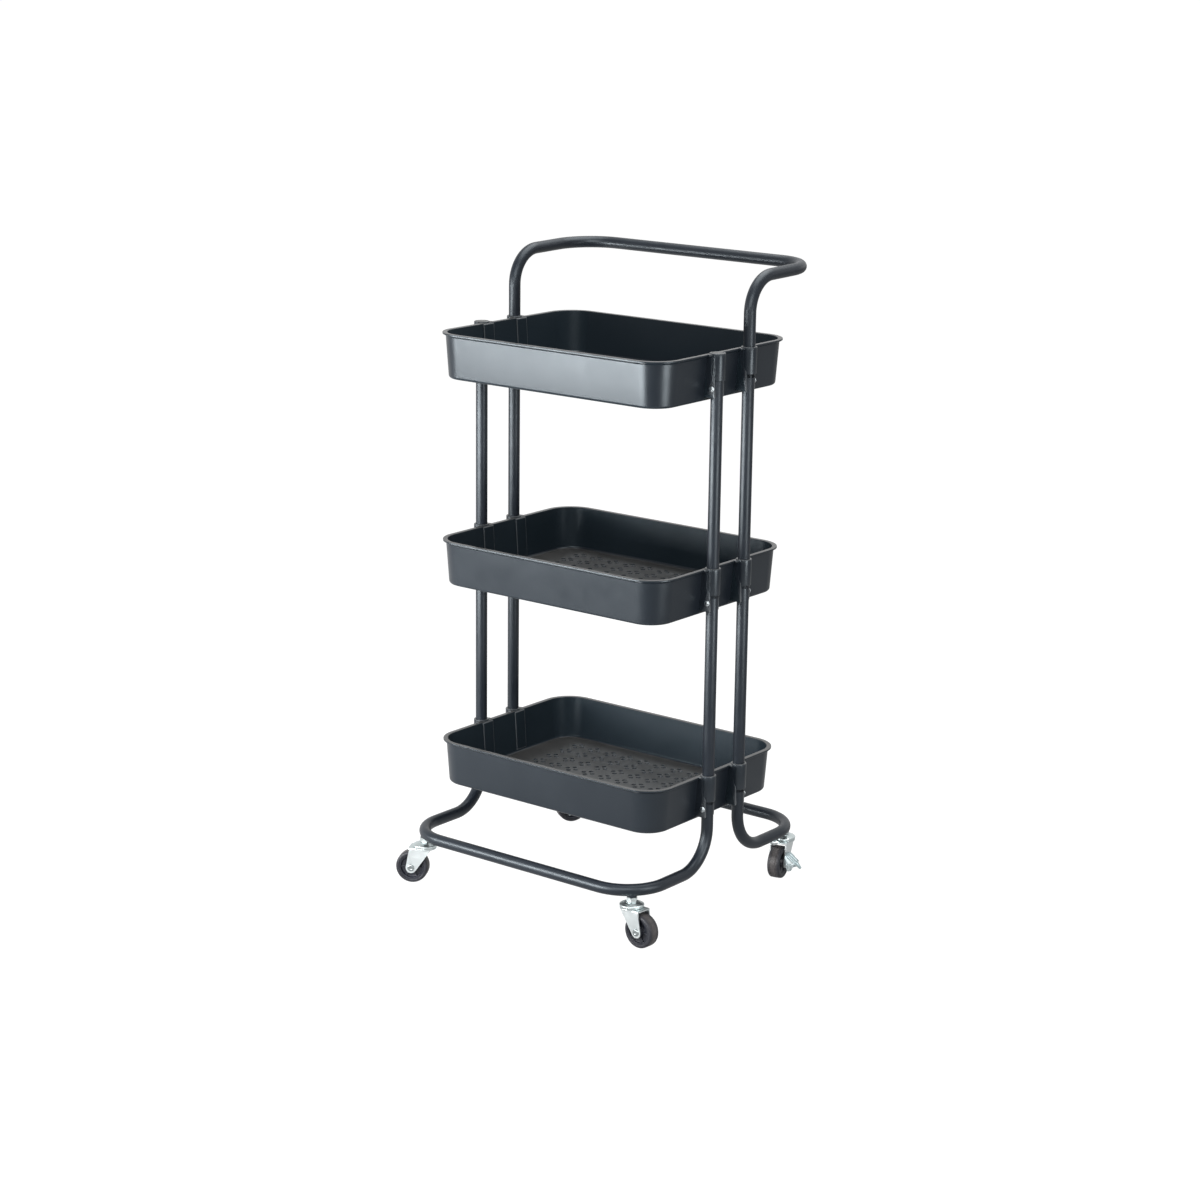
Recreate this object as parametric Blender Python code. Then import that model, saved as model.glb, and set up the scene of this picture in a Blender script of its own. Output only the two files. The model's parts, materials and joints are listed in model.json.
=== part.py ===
"""Three-tier rolling utility cart.

Three plastic baskets hang on four steel posts. Each post is a stack of tube sections: a bent base tube,
a lower post, an upper post and, at the rear, the legs of the push handle. Four swivel casters carry the
base tubes, and the rear two have a brake lever. Metres, +Z up, +X to the right, rear towards +Y, floor at z = 0.
"""

import math

import bmesh
import bpy
from mathutils import Matrix, Vector

# Tube frame
TUBE_RADIUS = 0.008
TUBE_BORE = 0.0068
SPIGOT_RADIUS = 0.0065
SPIGOT_BORE = 0.0053
SPIGOT_LENGTH = 0.022
SWAGE_LENGTH = 0.004
POST_X = 0.197
POST_Y = 0.0345
BASE_Z = 0.0735
BASE_BAR_Y = 0.191
BASE_RISE_BEND = 0.053
BASE_CORNER_BEND = 0.060
HANDLE_BAR_Y = 0.187
HANDLE_BAR_Z = 0.852
HANDLE_RISE_BEND = 0.046
HANDLE_CORNER_BEND = 0.057
HANDLE_TILT = math.radians(1.0)
TUBE_SIDES = 12
BEND_STEPS = 4

# Baskets, with the heights of their rims
TIERS = {"bottom": 0.198, "middle": 0.479, "top": 0.760}
RIM_X = 0.192
RIM_Y = 0.147
RIM_CORNER = 0.042
BASKET_DEPTH = 0.0615
BASKET_WALL = 0.0025
LIP_REACH = 0.004
WALL_DRAFT = 0.0045
EDGE_ROUND = 0.004
CORNER_STEPS = 4

# The sockets on the baskets' end walls, which hold the posts
COLLAR_RADIUS = 0.0106
COLLAR_BORE = 0.0083
COLLAR_RISE = 0.0015
COLLAR_DROP = 0.034
SADDLE_END_X = 0.1965
FLANK_END_X = 0.2005
SADDLE_DROP = 0.056
PAD_RISE = 0.0012
JOINT_DROP = 0.017
SCREW_DROP = 0.044

# Screws and the caps of the front posts
SCREW_SHANK = 0.0020
SCREW_HEAD = 0.0040
SCREW_HEAD_HEIGHT = 0.0024
SCREW_LENGTH = 0.009
CAP_HEIGHT = 0.0016
CAP_PLUG = 0.012

# Casters, in a frame with the stem's axis at the origin and the wheel trailing towards +X
WHEEL_RADIUS = 0.0225
WHEEL_HALF_WIDTH = 0.00875
TRAIL = 0.0175
CORE_RADIUS = 0.0175
HUB_RADIUS = 0.0075
HUB_HALF_WIDTH = 0.0089
WEB_HALF_WIDTH = 0.0040
AXLE_RADIUS = 0.0030
AXLE_HEAD = 0.0050
AXLE_HEAD_HEIGHT = 0.0012
FORK_HALF_WIDTH = 0.0120
FORK_THICKNESS = 0.0018
FORK_TOP = 0.0513
FORK_BACK_RADIUS = 0.0158
FORK_FRONT_X = 0.0215
LEG_BACK_X = -0.0087
LEG_FRONT_X = 0.0204
LEG_END_RADIUS = 0.0075
STEM_RADIUS = 0.0040
STEM_TOP = 0.0740
RIVET_RADIUS = 0.0050
RIVET_HEAD = 0.0066
RIVET_HEAD_HEIGHT = 0.0022
RACE_RADIUS = 0.0164
RACE_EDGE = 0.0026
RACE_SHOULDER = 0.0048
RACE_TOP = 0.0580
NUT_RADIUS = 0.0075
NUT_HEIGHT = 0.0064
WHEEL_SIDES = 20
GAP = 0.0003

# The direction in which each wheel trails, as an angle from +X, and whether the caster has a brake
CASTERS = {
    "front_left": (-1, -1, math.radians(208), False),
    "front_right": (1, -1, math.radians(-3), False),
    "rear_left": (-1, 1, math.radians(238), True),
    "rear_right": (1, 1, math.radians(-77), True),
}

# Brake lever: a channel that tilts on a pin through the axle's end. Its side outline is (out, up) from the axle
LEVER_HALF_WIDTH = 0.0100
LEVER_SHEET = 0.0014
LEVER_PIN_OUT = 0.0045
LEVER_PIN_RADIUS = 0.0015
LEVER_PIN_REACH = 0.0112
LEVER_TOP = (0.0012, 0.0140)
LEVER_TIP = (0.0240, -0.0050)
LEVER_EAR = ((0.0005, 0.0127), (0.0222, -0.0050), (0.0120, -0.0050), (0.0085, -0.0100), (0.0015, -0.0095),
             (0.0005, -0.0075))
AXLE_TONGUE = 0.0085

FINISHES = {
    "basket_plastic": ((0.030, 0.032, 0.036), 0.38, 0.0),
    "tube_paint": ((0.035, 0.038, 0.043), 0.35, 0.2),
    "zinc": ((0.72, 0.76, 0.78), 0.28, 1.0),
    "wheel_plastic": ((0.022, 0.023, 0.028), 0.45, 0.0),
    "tyre_rubber": ((0.060, 0.059, 0.062), 0.60, 0.0),
}


def clear_scene():
    for old in list(bpy.data.objects):
        bpy.data.objects.remove(old, do_unlink=True)


def make_materials():
    made = {}
    for name, (colour, roughness, metallic) in FINISHES.items():
        material = bpy.data.materials.new(name)
        material.use_nodes = True
        shader = material.node_tree.nodes["Principled BSDF"]
        shader.inputs["Base Color"].default_value = (*colour, 1.0)
        shader.inputs["Roughness"].default_value = roughness
        shader.inputs["Metallic"].default_value = metallic
        made[name] = material
    return made


# ---------------------------------------------------------------- shapes


def closed(bm):
    """The same shape with its faces pointing out."""
    bmesh.ops.remove_doubles(bm, verts=bm.verts, dist=1e-6)
    bmesh.ops.recalc_face_normals(bm, faces=bm.faces)
    return bm


def lathe(profile, sides):
    """A closed outline of (radius, height) points turned about +Z."""
    bm = bmesh.new()
    rings = []
    for radius, height in profile:
        if radius == 0:
            rings.append([bm.verts.new((0, 0, height))] * sides)
            continue
        turns = (2 * math.pi * k / sides for k in range(sides))
        rings.append([bm.verts.new((radius * math.cos(a), radius * math.sin(a), height)) for a in turns])
    for ring, after in zip(rings, rings[1:] + rings[:1]):
        for k in range(sides):
            corners = [ring[k], ring[(k + 1) % sides], after[(k + 1) % sides], after[k]]
            corners = list(dict.fromkeys(corners))
            if len(corners) > 2:
                bm.faces.new(corners)
    return closed(bm)


def cylinder(radius, low, high, sides=TUBE_SIDES):
    return lathe([(0, low), (radius, low), (radius, high), (0, high)], sides)


def prism(outline, low, high):
    """A closed outline in XY, filled and raised from low to high."""
    bm = bmesh.new()
    base = bm.faces.new([bm.verts.new((x, y, low)) for x, y in outline])
    raised = bmesh.ops.extrude_face_region(bm, geom=[base])
    tops = [item for item in raised["geom"] if isinstance(item, bmesh.types.BMVert)]
    bmesh.ops.translate(bm, verts=tops, vec=(0, 0, high - low))
    return closed(bm)


def moved(bm, matrix):
    bmesh.ops.transform(bm, matrix=matrix, verts=bm.verts)
    return bm


def shifted(bm, x=0.0, y=0.0, z=0.0):
    return moved(bm, Matrix.Translation((x, y, z)))


def arc(centre, radius, start, end, steps):
    """Points along an arc in XY, from one angle in degrees to another."""
    angles = (math.radians(start + (end - start) * k / steps) for k in range(steps + 1))
    return [(centre[0] + radius * math.cos(a), centre[1] + radius * math.sin(a)) for a in angles]


def combine(bm, tool, operation):
    """The shape joined with the tool, or cut by it."""
    pieces = []
    for shape in (bm, tool):
        mesh = bpy.data.meshes.new("helper")
        shape.to_mesh(mesh)
        shape.free()
        piece = bpy.data.objects.new("helper", mesh)
        bpy.context.scene.collection.objects.link(piece)
        pieces.append(piece)
    modifier = pieces[0].modifiers.new("combine", "BOOLEAN")
    modifier.operation = operation
    modifier.solver = "EXACT"
    modifier.object = pieces[1]
    bpy.context.view_layer.update()
    result = bmesh.new()
    result.from_object(pieces[0], bpy.context.evaluated_depsgraph_get())
    for piece in pieces:
        mesh = piece.data
        bpy.data.objects.remove(piece, do_unlink=True)
        bpy.data.meshes.remove(mesh)
    return result


def union(bm, tool):
    return combine(bm, tool, "UNION")


def cut(bm, tool):
    return combine(bm, tool, "DIFFERENCE")


def place(name, bm, material, parent=None, location=(0, 0, 0)):
    mesh = bpy.data.meshes.new(name)
    bm.to_mesh(mesh)
    bm.free()
    mesh.materials.append(material)
    mesh.shade_smooth()
    mesh.set_sharp_from_angle(angle=math.radians(35))
    piece = bpy.data.objects.new(name, mesh)
    piece.location = location
    piece.parent = parent
    bpy.context.scene.collection.objects.link(piece)
    return piece


def laid(bm):
    """Lays a turned shape's +Z axis along +Y."""
    return moved(bm, Matrix.Rotation(math.radians(-90), 4, "X"))


# ---------------------------------------------------------------- tube frame


def screw_drill(sign_y, reach):
    """A cutter from a post's axis out through the side that faces away from the other post."""
    drill = laid(cylinder(SCREW_SHANK + GAP, 0, reach, 8))
    return drill if sign_y > 0 else moved(drill, Matrix.Rotation(math.pi, 4, "Z"))


def bent_path(corners, bends):
    """The corner points of a route, with an arc of the given radius at each inner corner."""
    corners = [Vector(corner) for corner in corners]
    path = [corners[0]]
    for before, corner, after, radius in zip(corners, corners[1:], corners[2:], bends):
        back = (before - corner).normalized()
        onward = (after - corner).normalized()
        turn = math.pi - back.angle(onward)
        centre = corner + (back + onward).normalized() * radius / math.cos(turn / 2)
        start = corner + back * radius * math.tan(turn / 2) - centre
        spin = Matrix.Rotation(turn / BEND_STEPS, 3, (-back).cross(onward))
        for _ in range(BEND_STEPS + 1):
            path.append(centre + start)
            start = spin @ start
    path.append(corners[-1])
    return path


def tube(stations):
    """A hollow tube through stations of (point, outer radius, bore radius)."""
    points = [station[0] for station in stations]
    segments = [b - a for a, b in zip(points, points[1:])]
    tangents = []
    for k in range(len(points)):
        near = [s.normalized() for s in segments[max(k - 1, 0) : k + 1] if s.length > 1e-9]
        tangents.append(sum(near, Vector()).normalized())
    side = Vector((1, 0, 0))
    bm = bmesh.new()
    walls = ([], [])
    before = tangents[0]
    for (point, outer, bore), tangent in zip(stations, tangents):
        side = before.rotation_difference(tangent) @ side
        before = tangent
        across = tangent.cross(side)
        for wall, radius in zip(walls, (outer, bore)):
            turns = (2 * math.pi * k / TUBE_SIDES for k in range(TUBE_SIDES))
            wall.append([bm.verts.new(point + radius * (math.cos(a) * side + math.sin(a) * across)) for a in turns])
    outer_wall, inner_wall = walls
    loops = outer_wall + inner_wall[::-1]
    for ring, after in zip(loops, loops[1:] + loops[:1]):
        for k in range(TUBE_SIDES):
            bm.faces.new((ring[k], ring[(k + 1) % TUBE_SIDES], after[(k + 1) % TUBE_SIDES], after[k]))
    return closed(bm)


def spigot(x, y, shoulder):
    """The swaged end of a section, which slides into the section below: from its tip to where the bore is full."""
    tip, root, full = (Vector((x, y, shoulder + rise)) for rise in (-SPIGOT_LENGTH, 0, SWAGE_LENGTH))
    return [
        (tip, SPIGOT_RADIUS, SPIGOT_BORE),
        (root, SPIGOT_RADIUS, SPIGOT_BORE),
        (root, TUBE_RADIUS, SPIGOT_BORE),
        (full, TUBE_RADIUS, TUBE_BORE),
    ]


def screw_hole(bm, sign_x, sign_y, tier):
    """Cuts the hole for a basket's screw in a tube."""
    drill = screw_drill(sign_y, TUBE_RADIUS + 0.002)
    return cut(bm, shifted(drill, sign_x * POST_X, sign_y * POST_Y, TIERS[tier] - SCREW_DROP))


def caster_axis(sign_x, sign_y):
    """Where a caster's stem stands: under the middle of a base tube's corner bend."""
    inset = BASE_CORNER_BEND * (1 - math.sqrt(0.5))
    return sign_x * (POST_X - inset), sign_y * (BASE_BAR_Y - inset)


def base_tube(side, sign_y, material):
    top = TIERS["bottom"] - JOINT_DROP
    post_y, bar_y = sign_y * POST_Y, sign_y * BASE_BAR_Y
    corners = (
        (-POST_X, post_y, top),
        (-POST_X, post_y, BASE_Z),
        (-POST_X, bar_y, BASE_Z),
        (POST_X, bar_y, BASE_Z),
        (POST_X, post_y, BASE_Z),
        (POST_X, post_y, top),
    )
    path = bent_path(corners, (BASE_RISE_BEND, BASE_CORNER_BEND, BASE_CORNER_BEND, BASE_RISE_BEND))
    bm = tube([(point, TUBE_RADIUS, TUBE_BORE) for point in path])
    for sign_x in (-1, 1):
        x, y = caster_axis(sign_x, sign_y)
        bm = cut(bm, shifted(cylinder(STEM_RADIUS + GAP, BASE_Z - 0.012, BASE_Z), x, y))
        bm = screw_hole(bm, sign_x, sign_y, "bottom")
    place(f"{side}_base_tube", bm, material)


def post(name, sign_x, sign_y, low, high, tier, material):
    x, y = sign_x * POST_X, sign_y * POST_Y
    stations = spigot(x, y, low) + [(Vector((x, y, high)), TUBE_RADIUS, TUBE_BORE)]
    place(name, screw_hole(tube(stations), sign_x, sign_y, tier), material)


def posts(material):
    bottom, middle, top = (TIERS[tier] - JOINT_DROP for tier in ("bottom", "middle", "top"))
    for side, sign_x in (("left", -1), ("right", 1)):
        for end, sign_y in (("front", -1), ("rear", 1)):
            post(f"lower_post_{end}_{side}", sign_x, sign_y, bottom + GAP, middle, "middle", material)
            high = TIERS["top"] if end == "front" else top
            post(f"upper_post_{end}_{side}", sign_x, sign_y, middle + GAP, high, "top", material)


def handle(material):
    shoulder = TIERS["top"] - JOINT_DROP + GAP
    bend_z = HANDLE_BAR_Z - (HANDLE_BAR_Y - POST_Y) * math.tan(HANDLE_TILT)
    corners = (
        (-POST_X, POST_Y, shoulder),
        (-POST_X, POST_Y, bend_z),
        (-POST_X, HANDLE_BAR_Y, HANDLE_BAR_Z),
        (POST_X, HANDLE_BAR_Y, HANDLE_BAR_Z),
        (POST_X, POST_Y, bend_z),
        (POST_X, POST_Y, shoulder),
    )
    bends = (HANDLE_RISE_BEND, HANDLE_CORNER_BEND, HANDLE_CORNER_BEND, HANDLE_RISE_BEND)
    path = bent_path(corners, bends)
    stations = spigot(-POST_X, POST_Y, shoulder)
    stations += [(point, TUBE_RADIUS, TUBE_BORE) for point in path[1:-1]]
    stations += spigot(POST_X, POST_Y, shoulder)[::-1]
    place("handle_tube", tube(stations), material)


def post_caps(material):
    """The plugs that close the front posts at the top basket."""
    plug = SPIGOT_RADIUS
    outline = [
        (0, -CAP_PLUG),
        (plug, -CAP_PLUG),
        (plug, GAP),
        (TUBE_RADIUS, GAP),
        (TUBE_RADIUS, GAP + CAP_HEIGHT / 2),
        (TUBE_RADIUS - 0.0015, GAP + CAP_HEIGHT),
        (0, GAP + CAP_HEIGHT),
    ]
    for side, sign_x in (("left", -1), ("right", 1)):
        cap = lathe(outline, TUBE_SIDES)
        place(f"post_cap_{side}", cap, material, location=(sign_x * POST_X, -POST_Y, TIERS["top"]))


# ---------------------------------------------------------------- baskets


def rounded_ring(inset, z):
    """The rim's outline moved inwards by the inset, at a height."""
    half_x, half_y, corner = RIM_X - inset, RIM_Y - inset, RIM_CORNER - inset
    ring = []
    for sign_x, sign_y, start in ((1, 1, 0), (-1, 1, 90), (-1, -1, 180), (1, -1, 270)):
        centre = (sign_x * (half_x - corner), sign_y * (half_y - corner))
        ring += [(x, y, z) for x, y in arc(centre, corner, start, start + 90, CORNER_STEPS)]
    return ring


def wall_inset(drop):
    """How far the outside of the wall is inside the rim, at a drop below it."""
    return LIP_REACH + WALL_DRAFT * drop / BASKET_DEPTH


def basket_shell():
    """The tray itself, with the rim's top at z = 0."""
    floor = -BASKET_DEPTH
    inner_floor = floor + BASKET_WALL
    bottom = wall_inset(BASKET_DEPTH)
    soft = EDGE_ROUND * 0.3
    sections = (
        (bottom + EDGE_ROUND, floor),
        (bottom + soft, floor + soft),
        (wall_inset(BASKET_DEPTH - EDGE_ROUND), floor + EDGE_ROUND),
        (wall_inset(0.003), -0.003),
        (0.0015, -0.0042),
        (0.0, -0.0042),
        (0.0, -0.0012),
        (0.0012, 0.0),
        (LIP_REACH + 0.0013, 0.0),
        (LIP_REACH + BASKET_WALL, -0.0013),
        (wall_inset(BASKET_DEPTH - EDGE_ROUND) + BASKET_WALL, inner_floor + EDGE_ROUND),
        (bottom + BASKET_WALL + soft, inner_floor + soft),
        (bottom + BASKET_WALL + EDGE_ROUND, inner_floor),
    )
    bm = bmesh.new()
    rings = [[bm.verts.new(corner) for corner in rounded_ring(inset, z)] for inset, z in sections]
    for ring, after in zip(rings, rings[1:]):
        for k in range(len(ring)):
            following = (k + 1) % len(ring)
            bm.faces.new((ring[k], ring[following], after[following], after[k]))
    bm.faces.new(rings[0])
    bm.faces.new(rings[-1])
    return closed(bm)


def saddle():
    """The block behind a collar. It follows the wall's slope, stands a little proud of the wall's inside, and
    reaches further out below the collar, where its two flanks take the screw."""
    high = -0.0006
    low_x, high_x = (RIM_X - wall_inset(drop) - BASKET_WALL - PAD_RISE for drop in (SADDLE_DROP, -high))
    outline = (
        (low_x, -SADDLE_DROP),
        (FLANK_END_X, -SADDLE_DROP),
        (FLANK_END_X, -COLLAR_DROP),
        (SADDLE_END_X, -COLLAR_DROP),
        (SADDLE_END_X, high),
        (high_x, high),
    )
    standing = Matrix.Rotation(math.radians(90), 4, "X")
    return moved(prism(outline, -COLLAR_RADIUS, COLLAR_RADIUS), standing)


def basket(tier, material):
    bm = basket_shell()
    for sign_x in (-1, 1):
        half_turn = Matrix.Rotation(0 if sign_x > 0 else math.pi, 4, "Z")
        for sign_y in (-1, 1):
            y = sign_y * POST_Y
            bm = union(bm, shifted(moved(saddle(), half_turn), 0, y))
            collar = cylinder(COLLAR_RADIUS, -COLLAR_DROP, COLLAR_RISE, 16)
            bm = union(bm, shifted(collar, sign_x * POST_X, y))
            bore = cylinder(COLLAR_BORE, -BASKET_DEPTH - 0.01, 0.01, TUBE_SIDES)
            bm = cut(bm, shifted(bore, sign_x * POST_X, y))
            drill = screw_drill(sign_y, COLLAR_RADIUS + 0.002)
            bm = cut(bm, shifted(drill, sign_x * POST_X, y, -SCREW_DROP))
    place(f"{tier}_basket", bm, material, location=(0, 0, TIERS[tier]))


def screws(material):
    """One screw through each saddle's flank into its tube."""
    outline = [
        (0, -SCREW_LENGTH),
        (SCREW_SHANK, -SCREW_LENGTH),
        (SCREW_SHANK, GAP),
        (SCREW_HEAD, GAP),
        (SCREW_HEAD * 0.9, GAP + SCREW_HEAD_HEIGHT * 0.7),
        (SCREW_HEAD * 0.5, GAP + SCREW_HEAD_HEIGHT),
        (0, GAP + SCREW_HEAD_HEIGHT),
    ]
    for tier, rim in TIERS.items():
        for side, sign_x in (("left", -1), ("right", 1)):
            for end, sign_y in (("front", -1), ("rear", 1)):
                screw = moved(lathe(outline, 8), Matrix.Rotation(math.radians(-90 * sign_y), 4, "X"))
                seat = (sign_x * POST_X, sign_y * (POST_Y + COLLAR_RADIUS), rim - SCREW_DROP)
                place(f"screw_{tier}_{end}_{side}", screw, material, location=seat)


# ---------------------------------------------------------------- casters


def stem():
    """The threaded stem with the upper ball race and the rivet head that holds the fork, in one piece."""
    under = FORK_TOP - FORK_THICKNESS
    outline = [
        (0, under - RIVET_HEAD_HEIGHT),
        (RIVET_HEAD, under - RIVET_HEAD_HEIGHT),
        (RIVET_HEAD, under - GAP),
        (RIVET_RADIUS, under - GAP),
        (RIVET_RADIUS, FORK_TOP + GAP),
        (RACE_RADIUS, FORK_TOP + GAP),
        (RACE_RADIUS, FORK_TOP + RACE_EDGE),
        (RACE_RADIUS * 0.88, FORK_TOP + RACE_SHOULDER),
        (RACE_RADIUS * 0.5, RACE_TOP),
        (STEM_RADIUS, RACE_TOP),
        (STEM_RADIUS, STEM_TOP),
        (0, STEM_TOP),
    ]
    return lathe(outline, TUBE_SIDES)


def lock_nut():
    low, high = RACE_TOP + GAP, RACE_TOP + GAP + NUT_HEIGHT
    nut = lathe([(0, low), (NUT_RADIUS, low), (NUT_RADIUS, high), (0, high)], 6)
    return cut(nut, cylinder(STEM_RADIUS + GAP, low - 0.001, high + 0.001))


def fork():
    """A strip folded down on both sides: a rounded top plate, and two legs that narrow to the axle."""
    reach = math.degrees(math.asin(FORK_HALF_WIDTH / FORK_BACK_RADIUS))
    plan = arc((0, 0), FORK_BACK_RADIUS, reach, 360 - reach, 10)
    plan += [(FORK_FRONT_X, -FORK_HALF_WIDTH), (FORK_FRONT_X, FORK_HALF_WIDTH)]
    bm = prism(plan, FORK_TOP - FORK_THICKNESS, FORK_TOP)
    side = arc((TRAIL, WHEEL_RADIUS), LEG_END_RADIUS, -150, 0, 5)
    side += [(LEG_FRONT_X, FORK_TOP - 0.0005), (LEG_BACK_X, FORK_TOP - 0.0005)]
    standing = Matrix.Rotation(math.radians(90), 4, "X")
    for low in (-FORK_HALF_WIDTH, FORK_HALF_WIDTH - FORK_THICKNESS):
        bm = union(bm, moved(prism(side, low, low + FORK_THICKNESS), standing))
    bm = cut(bm, cylinder(RIVET_RADIUS + GAP, FORK_TOP - 0.004, FORK_TOP + 0.002))
    bore = laid(cylinder(AXLE_RADIUS + GAP, -0.015, 0.015, 10))
    return cut(bm, shifted(bore, TRAIL, 0, WHEEL_RADIUS))


def axle(with_brake):
    """A rivet across the fork, or with a brake a pin whose outer end is drilled for the lever's pin."""
    low = FORK_HALF_WIDTH + GAP
    high = low + AXLE_HEAD_HEIGHT
    crown = AXLE_HEAD * 0.84
    outline = [(0, -high), (crown, -high), (AXLE_HEAD, -low), (AXLE_RADIUS, -low)]
    if with_brake:
        end = FORK_HALF_WIDTH + AXLE_TONGUE
        outline += [(AXLE_RADIUS, end), (0, end)]
        bm = laid(lathe(outline, 10))
        hole = moved(cylinder(LEVER_PIN_RADIUS + GAP, -0.005, 0.005, 8), Matrix.Rotation(math.radians(90), 4, "Y"))
        return cut(bm, shifted(hole, 0, FORK_HALF_WIDTH + LEVER_PIN_OUT))
    outline += [(AXLE_RADIUS, low), (AXLE_HEAD, low), (crown, high), (0, high)]
    return laid(lathe(outline, 10))


def wheel_core():
    half = [
        (AXLE_RADIUS + GAP, HUB_HALF_WIDTH),
        (HUB_RADIUS, HUB_HALF_WIDTH),
        (HUB_RADIUS + 0.0005, WEB_HALF_WIDTH),
        (CORE_RADIUS - 0.0028, WEB_HALF_WIDTH),
        (CORE_RADIUS, WHEEL_HALF_WIDTH - 0.0008),
    ]
    outline = half + [(radius, -height) for radius, height in reversed(half)]
    return laid(lathe(outline, WHEEL_SIDES))


def tyre():
    half = [
        (CORE_RADIUS + GAP, WHEEL_HALF_WIDTH - 0.0008),
        (WHEEL_RADIUS - 0.0018, WHEEL_HALF_WIDTH),
        (WHEEL_RADIUS, WHEEL_HALF_WIDTH - 0.0026),
    ]
    outline = half + [(radius, -height) for radius, height in reversed(half)]
    return laid(lathe(outline, WHEEL_SIDES))


def brake_lever():
    """In a frame with the lever's pin along X at the origin, and the pedal reaching out towards +Y."""
    (top_y, top_z), (tip_y, tip_z) = LEVER_TOP, LEVER_TIP
    length = math.hypot(tip_y - top_y, tip_z - top_z)
    inward = Vector((tip_z - top_z, top_y - tip_y)) * LEVER_SHEET / length
    sheet = (LEVER_TOP, LEVER_TIP, (tip_y + inward.x, tip_z + inward.y), (top_y + inward.x, top_z + inward.y))
    lying = Matrix(((0, 0, 1, 0), (1, 0, 0, 0), (0, 1, 0, 0), (0, 0, 0, 1)))
    bm = moved(prism(sheet, -LEVER_HALF_WIDTH, LEVER_HALF_WIDTH), lying)
    for low in (-LEVER_HALF_WIDTH, LEVER_HALF_WIDTH - LEVER_SHEET):
        bm = union(bm, moved(prism(LEVER_EAR, low, low + LEVER_SHEET), lying))
    bm = shifted(bm, 0, -LEVER_PIN_OUT)
    bore = cylinder(LEVER_PIN_RADIUS + GAP, -0.012, 0.012, 8)
    return cut(bm, moved(bore, Matrix.Rotation(math.radians(90), 4, "Y")))


def lever_pin():
    pin = cylinder(LEVER_PIN_RADIUS, -LEVER_PIN_REACH, LEVER_PIN_REACH, 8)
    return moved(pin, Matrix.Rotation(math.radians(90), 4, "Y"))


def caster(name, sign_x, sign_y, turn, with_brake, finishes):
    """One caster. Its empty stands on the swivel axis, turned to the way the wheel trails."""
    zinc = finishes["zinc"]
    swivel = bpy.data.objects.new(f"{name}_swivel", None)
    swivel.location = (*caster_axis(sign_x, sign_y), 0)
    swivel.rotation_euler = (0, 0, turn)
    bpy.context.scene.collection.objects.link(swivel)
    wheel_centre = (TRAIL, 0, WHEEL_RADIUS)
    place(f"{name}_caster_stem", stem(), zinc, swivel)
    place(f"{name}_caster_nut", lock_nut(), zinc, swivel)
    place(f"{name}_caster_fork", fork(), zinc, swivel)
    place(f"{name}_caster_axle", axle(with_brake), zinc, swivel, wheel_centre)
    place(f"{name}_wheel_core", wheel_core(), finishes["wheel_plastic"], swivel, wheel_centre)
    place(f"{name}_tyre", tyre(), finishes["tyre_rubber"], swivel, wheel_centre)
    if with_brake:
        pin_at = (TRAIL, FORK_HALF_WIDTH + LEVER_PIN_OUT, WHEEL_RADIUS)
        place(f"{name}_brake_lever", brake_lever(), zinc, swivel, pin_at)
        place(f"{name}_brake_pin", lever_pin(), zinc, swivel, pin_at)


def main():
    clear_scene()
    finishes = make_materials()
    base_tube("front", -1, finishes["tube_paint"])
    base_tube("rear", 1, finishes["tube_paint"])
    posts(finishes["tube_paint"])
    handle(finishes["tube_paint"])
    post_caps(finishes["basket_plastic"])
    for tier in TIERS:
        basket(tier, finishes["basket_plastic"])
    screws(finishes["zinc"])
    for name, (sign_x, sign_y, turn, with_brake) in CASTERS.items():
        caster(name, sign_x, sign_y, turn, with_brake, finishes)


main()
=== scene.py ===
"""The looks of the three-tier rolling utility cart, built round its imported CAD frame.

Each CAD node is stood for by one finer piece of the same size in the same place: smooth bent tubes, moulded
baskets with pierced floors, and casters of folded zinc-plated sheet. Metres, +Z up, the handle towards +Y.
"""
import json
import math

import bmesh
import bpy
from mathutils import Matrix, Vector


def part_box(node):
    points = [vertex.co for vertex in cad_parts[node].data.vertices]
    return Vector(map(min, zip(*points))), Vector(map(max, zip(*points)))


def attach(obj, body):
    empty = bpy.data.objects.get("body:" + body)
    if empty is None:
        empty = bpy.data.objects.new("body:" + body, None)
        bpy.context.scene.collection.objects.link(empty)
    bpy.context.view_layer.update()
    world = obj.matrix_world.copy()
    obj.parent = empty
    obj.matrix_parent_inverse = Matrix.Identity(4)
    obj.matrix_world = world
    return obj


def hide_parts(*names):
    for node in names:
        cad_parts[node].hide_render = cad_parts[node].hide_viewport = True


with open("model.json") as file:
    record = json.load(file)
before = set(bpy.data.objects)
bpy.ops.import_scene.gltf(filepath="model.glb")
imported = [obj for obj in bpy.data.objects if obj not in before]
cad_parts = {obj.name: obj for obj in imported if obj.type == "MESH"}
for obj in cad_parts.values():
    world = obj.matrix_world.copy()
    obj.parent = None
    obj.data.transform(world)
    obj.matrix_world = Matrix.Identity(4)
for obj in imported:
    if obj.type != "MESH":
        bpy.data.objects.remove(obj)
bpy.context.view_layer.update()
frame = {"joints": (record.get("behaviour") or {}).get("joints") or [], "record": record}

SIDES = (("left", -1), ("right", 1))
ENDS = (("front", -1), ("rear", 1))
TIERS = ("bottom", "middle", "top")
CASTERS = ("front_left", "front_right", "rear_left", "rear_right")

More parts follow.
